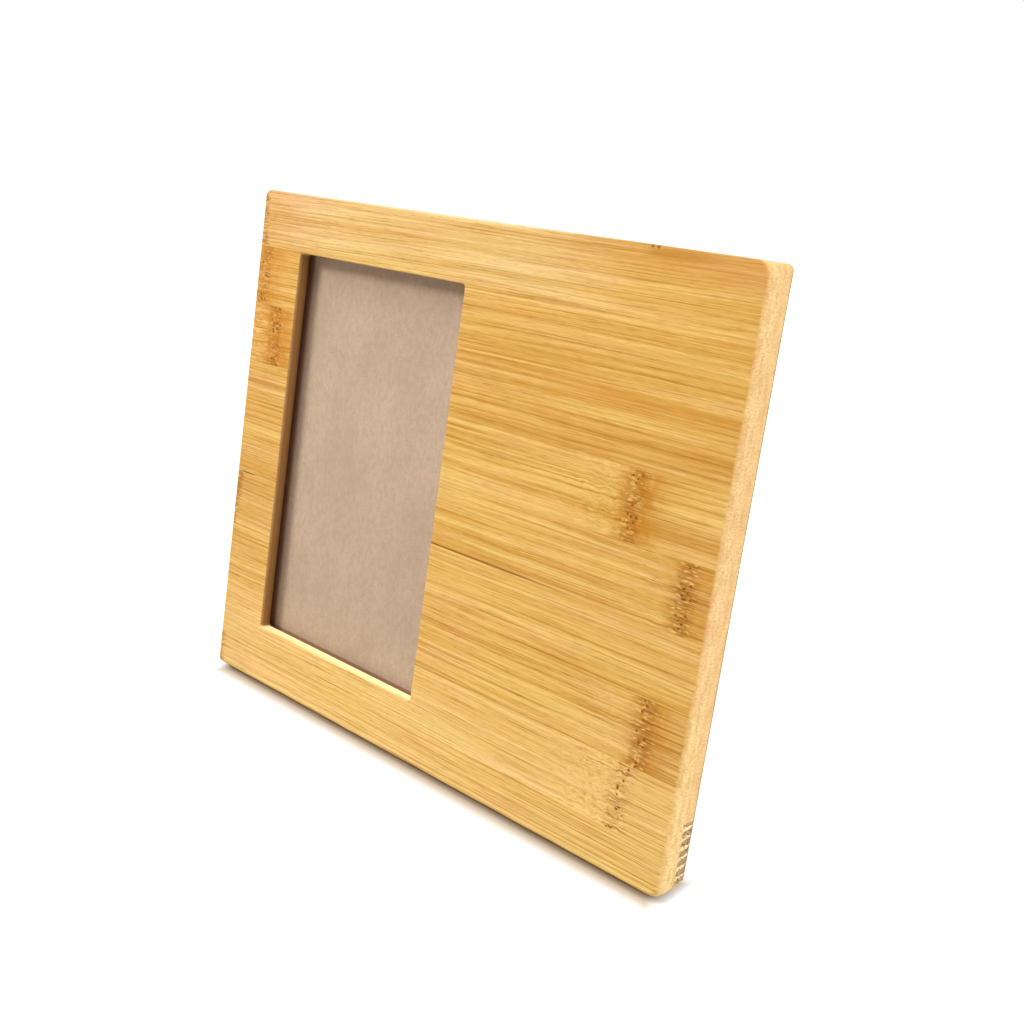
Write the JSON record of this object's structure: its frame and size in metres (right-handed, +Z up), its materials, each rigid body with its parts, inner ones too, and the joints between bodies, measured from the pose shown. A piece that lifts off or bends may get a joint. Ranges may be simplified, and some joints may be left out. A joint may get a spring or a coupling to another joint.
{
  "type": "picture frame",
  "caption": "Leaning bamboo picture frame with a portrait window beside a blank field, clear glazing, a back panel held by turn buttons and a folding leg.",
  "frame": {"origin": "middle of the footprint, on the surface that the frame stands on", "axes": "+Z up, the front faces -Y and leans back, +X to the right seen from the front"},
  "size_m": [0.2, 0.0626, 0.1632],
  "materials": {
    "bamboo": "sanded laminated bamboo with a satin clear coat",
    "clear_acrylic": "clear polished sheet",
    "hardboard": "raw hardboard",
    "nickel_steel": "nickel plated"
  },
  "bodies": {
    "frame": {"face_board": "bamboo", "glazing": "clear_acrylic", "back_panel": "hardboard", "button_screw_left_lower": "nickel_steel", "button_screw_left_upper": "nickel_steel", "button_screw_right_lower": "nickel_steel", "button_screw_right_upper": "nickel_steel", "hinge_board_leaf": "nickel_steel", "hinge_pin": "nickel_steel", "hinge_board_screw_left": "nickel_steel", "hinge_board_screw_right": "nickel_steel"},
    "leg": {"leg": "bamboo", "hinge_leg_leaf": "nickel_steel", "hinge_leg_screw_left": "nickel_steel", "hinge_leg_screw_right": "nickel_steel"},
    "turn_button_left_lower": {"turn_button_left_lower": "nickel_steel"},
    "turn_button_left_upper": {"turn_button_left_upper": "nickel_steel"},
    "turn_button_right_lower": {"turn_button_right_lower": "nickel_steel"},
    "turn_button_right_upper": {"turn_button_right_upper": "nickel_steel"}
  },
  "joints": [
    {"name": "leg_fold", "type": "hinge", "parent": "frame", "child": "leg", "pos_m": [0.0503, 0.00438, 0.117], "axis": [-1, 0, 0], "range_deg": [0, 22]},
    {"name": "turn_left_lower", "type": "hinge", "parent": "frame", "child": "turn_button_left_lower", "pos_m": [-0.0955, -0.01298, 0.04114], "axis": [0, 0.9796, -0.2011], "continuous": true},
    {"name": "turn_left_upper", "type": "hinge", "parent": "frame", "child": "turn_button_left_upper", "pos_m": [-0.0955, 0.00339, 0.12087], "axis": [0, 0.9796, -0.2011], "continuous": true},
    {"name": "turn_right_lower", "type": "hinge", "parent": "frame", "child": "turn_button_right_lower", "pos_m": [0.0168, -0.01298, 0.04114], "axis": [0, 0.9796, -0.2011], "continuous": true},
    {"name": "turn_right_upper", "type": "hinge", "parent": "frame", "child": "turn_button_right_upper", "pos_m": [0.0168, 0.00339, 0.12087], "axis": [0, 0.9796, -0.2011], "continuous": true}
  ]
}
